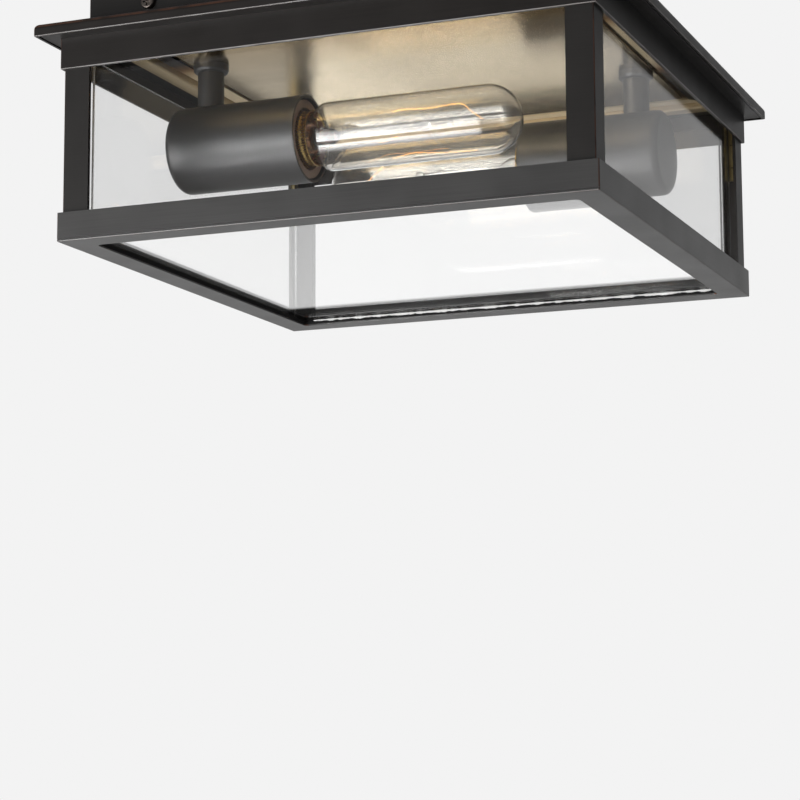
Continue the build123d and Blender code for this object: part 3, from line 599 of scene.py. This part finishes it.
def slab(bm, low, high, axis, steps=60, arris=0.3 * MM, chips=0.12 * MM):
    """Glass slab between two corners, thin along an axis. Its edge faces take the second material."""
    first, second = [other for other in range(3) if other != axis]
    middle, half = (low + high) / 2, (high - low) / 2
    run = [-1 + 2 * step / steps for step in range(steps)]
    rim = [(u, -1) for u in run] + [(1, v) for v in run] + [(-u, 1) for u in run] + [(-1, -v) for v in run]
    rings = []
    bevel = arris / half[axis]
    for level, inset in ((-1, arris), (bevel - 1, 0), (1 - bevel, 0), (1, arris)):
        ring = []
        for u, v in rim:
            spot = middle.copy()
            spot[axis] += level * half[axis]
            rough = noise.noise(Vector((u * 40, v * 40, level * 3 + axis * 7)))
            cut = inset + (abs(rough) * chips if inset else 0)
            spot[first] += u * (half[first] - cut)
            spot[second] += v * (half[second] - cut)
            ring.append(bm.verts.new(spot))
        rings.append(ring)
    count = len(rim)
    for one, two in zip(rings, rings[1:]):
        for step in range(count):
            after = (step + 1) % count
            bm.faces.new((one[step], one[after], two[after], two[step])).material_index = 1
    bm.faces.new(rings[0])
    bm.faces.new(rings[-1])


THIN_AXIS = {"front_pane": 1, "back_pane": 1, "left_pane": 0, "right_pane": 0, "bottom_glass": 2}
# Panes whose edges are painted black as shade
SHADED_EDGE_PANES = ("back_pane", "right_pane")
for pane, axis in THIN_AXIS.items():
    low, high = (Vector(corner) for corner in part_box(pane))
    bm = bmesh.new()
    slab(bm, low, high, axis)
    add_piece(f"{pane}_sheet", to_mesh(f"{pane}_sheet", bm, 20), "cage",
              [pane_glass, shaded_edge if pane in SHADED_EDGE_PANES else ground_edge], [pane])

# Bedding: a ragged line of silicone squeezed out between the bottom frame's lip and the bottom glass
BEDDING_START, BEDDING_END, BEDDING_STEPS = -107.0, 109.0, 240
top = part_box("bottom_glass")[0][2] - 0.02 * MM
bm = bmesh.new()
sections = []
for step in range(BEDDING_STEPS + 1):
    x = (BEDDING_START + (BEDDING_END - BEDDING_START) * step / BEDDING_STEPS) * MM
    ragged = noise.noise(Vector((x * 300, 0.3, 0.7))) + 0.6 * noise.noise(Vector((x * 900, 4.1, 0.2)))
    thick = (0.28 + 0.10 * noise.noise(Vector((x * 500, 9.0, 1.0)))) * MM
    drop = max(0.55 + 0.55 * ragged, 0.14) * MM
    sections.append([bm.verts.new((x, OPENING_HALF + out, z)) for out, z in (
        (0.05 * MM, top), (-5 * thick, top), (-4.6 * thick, top - 0.08 * MM), (-0.5 * thick, top - drop),
        (0.05 * MM, top - drop),
    )])
corners = len(sections[0])
for one, two in zip(sections, sections[1:]):
    for corner in range(corners):
        after = (corner + 1) % corners
        bm.faces.new((one[corner], one[after], two[after], two[corner]))
bm.faces.new(sections[0])
bm.faces.new(sections[-1])
add_piece("bedding", to_mesh("bedding", bm), "cage", [silicone])


# Floor, world, lamps and camera
FLOOR_LEVEL = -1.75
FLOOR_RADIUS = 6.0
FLOOR_OWN_LIGHT = 0.8
FLOOR_GLOW, FLOOR_GLOW_SEEN = 0.42, 1.1
SURROUND, BACKDROP, ROOM = 0.25, 0.896, 0.18
TOWARDS_BACKDROP = (-0.374, 0.927, 0.0)
BACKDROP_FADE = (0.72, 0.90)
BAR_EDGE = (0.0, 1.0, 4.894)
BAR_EDGE_FADE, BAR_TOP_FADE = (0.0, 0.005), (-0.10, -0.12)
BAR_LIGHT = 0.02
AIM = Vector((0, 0, -0.085))
HEADING, PITCH_UP, ROLL = 22.095, 8.264, -0.281
CAMERA_PLACE = (0.39705, -1.00929, -0.33560)
SENSOR, LENS = 36.0, 105.83


def background_rays(tree):
    """Light Path's outputs, and a value of 1 for each ray by which the background is seen."""
    path = node(tree, "ShaderNodeLightPath").outputs
    return path, most(tree, path["Is Camera Ray"], path["Is Glossy Ray"], path["Is Transmission Ray"])


def add_floor():
    """Round pale floor. Where it is seen, most of its light is its own, and the rest keeps shadows."""
    bm = bmesh.new()
    bmesh.ops.create_circle(bm, cap_ends=True, segments=96, radius=FLOOR_RADIUS)
    mesh = bpy.data.meshes.new("floor")
    bm.to_mesh(mesh)
    bm.free()
    floor = bpy.data.objects.new("floor", mesh)
    floor.location = (0, 0, FLOOR_LEVEL)
    scene.collection.objects.link(floor)
    paint, tree, shader, coords = material("floor_paint", Roughness=0.9)
    pale = blend(tree, cloud(tree, coords, 3.0), (0.84, 0.84, 0.84, 1), (0.88, 0.88, 0.88, 1))
    tree.links.new(pale, shader.inputs["Base Color"])
    path, seen = background_rays(tree)
    glow = span(tree, path["Is Camera Ray"], 0.0, 1.0, FLOOR_GLOW, FLOOR_GLOW_SEEN)
    lit = node(tree, "ShaderNodeEmission", {"Color": pale, "Strength": glow}).outputs[0]
    part_lit = times(tree, seen, FLOOR_OWN_LIGHT)
    mixed = node(tree, "ShaderNodeMixShader", {0: part_lit, 1: shader.outputs[0], 2: lit})
    tree.links.new(mixed.outputs[0], tree.nodes["Material Output"].inputs["Surface"])
    mesh.materials.append(paint)
    floor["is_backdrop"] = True


def add_world():
    """Even light, with a pale backdrop for the rays that see it.

    The backdrop stands behind the object. A mirrored ray that goes elsewhere finds a dimmer room.
    A dark bar low behind the object shows in the bottom glass as a black line along its back edge.
    """
    world = bpy.data.worlds.new("studio")
    world.use_nodes = True
    scene.world = world
    tree = world.node_tree
    path, seen = background_rays(tree)
    surround = tree.nodes["Background"]
    surround.inputs["Color"].default_value = (1.0, 1.0, 1.0, 1)
    surround.inputs["Strength"].default_value = SURROUND
    way = node(tree, "ShaderNodeTexCoord").outputs["Generated"]
    towards = node(tree, "ShaderNodeVectorMath", {0: way, 1: TOWARDS_BACKDROP}, operation="DOT_PRODUCT")
    mirrored = span(tree, towards.outputs["Value"], *BACKDROP_FADE, ROOM, 1.0)
    edge = node(tree, "ShaderNodeVectorMath", {0: way, 1: BAR_EDGE}, operation="DOT_PRODUCT")
    slope = node(tree, "ShaderNodeSeparateXYZ", {0: way}).outputs["Z"]
    bar = times(tree, span(tree, edge.outputs["Value"], *BAR_EDGE_FADE), span(tree, slope, *BAR_TOP_FADE))
    mirrored = times(tree, mirrored, span(tree, bar, 0.0, 1.0, 1.0, BAR_LIGHT))
    mirror_ray = span(tree, path["Glossy Depth"], 0.0, 1.0)
    level = node(tree, "ShaderNodeMix", {0: mirror_ray, 2: BACKDROP, 3: mirrored}).outputs[0]
    backdrop = node(tree, "ShaderNodeBackground", {"Color": (1.0, 1.0, 1.0, 1), "Strength": level})
    mixed = node(tree, "ShaderNodeMixShader", {0: seen, 1: surround.outputs[0], 2: backdrop.outputs[0]})
    tree.links.new(mixed.outputs[0], tree.nodes["World Output"].inputs["Surface"])


def softbox(name, azimuth, elevation, distance, width, height, radiance):
    """Area lamp with soft edges that faces the object. azimuth is from the front, to the right."""
    lamp_data = bpy.data.lights.new(name, "AREA")
    lamp_data.shape = "RECTANGLE"
    lamp_data.size, lamp_data.size_y = width, height
    lamp_data.energy = radiance * math.pi * width * height
    lamp_data.use_nodes = True
    tree = lamp_data.node_tree
    spot = node(tree, "ShaderNodeNewGeometry").outputs["Parametric"]
    middle = (0.5, 0.5, 0.0)
    offset = node(tree, "ShaderNodeVectorMath", {0: spot, 1: middle}, operation="SUBTRACT").outputs[0]
    across, up = sizes(tree, offset)[:2]
    soft = times(tree, span(tree, across, 0.5, 0.1), span(tree, up, 0.5, 0.15))
    tree.links.new(soft, tree.nodes["Emission"].inputs["Strength"])
    box = bpy.data.objects.new(name, lamp_data)
    a, e = math.radians(azimuth), math.radians(elevation)
    away = Vector((math.sin(a) * math.cos(e), -math.cos(a) * math.cos(e), math.sin(e)))
    box.location = AIM + away * distance
    box.rotation_euler = away.to_track_quat("Z", "Y").to_euler()
    box.visible_camera = False
    scene.collection.objects.link(box)


def add_camera():
    """Camera at the photo's viewing angle."""
    camera_data = bpy.data.cameras.new("camera")
    camera_data.sensor_width, camera_data.lens = SENSOR, LENS
    camera = bpy.data.objects.new("camera", camera_data)
    camera.location = CAMERA_PLACE
    turned_view = Matrix.Rotation(math.radians(HEADING), 4, "Z")
    turned_view = turned_view @ Matrix.Rotation(math.radians(90 + PITCH_UP), 4, "X")
    camera.rotation_euler = (turned_view @ Matrix.Rotation(math.radians(ROLL), 4, "Z")).to_euler()
    scene.collection.objects.link(camera)
    scene.camera = camera


add_floor()
add_world()
softbox("key", azimuth=-30, elevation=-26, distance=1.5, width=1.0, height=1.9, radiance=12.0)
add_camera()

low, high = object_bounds()
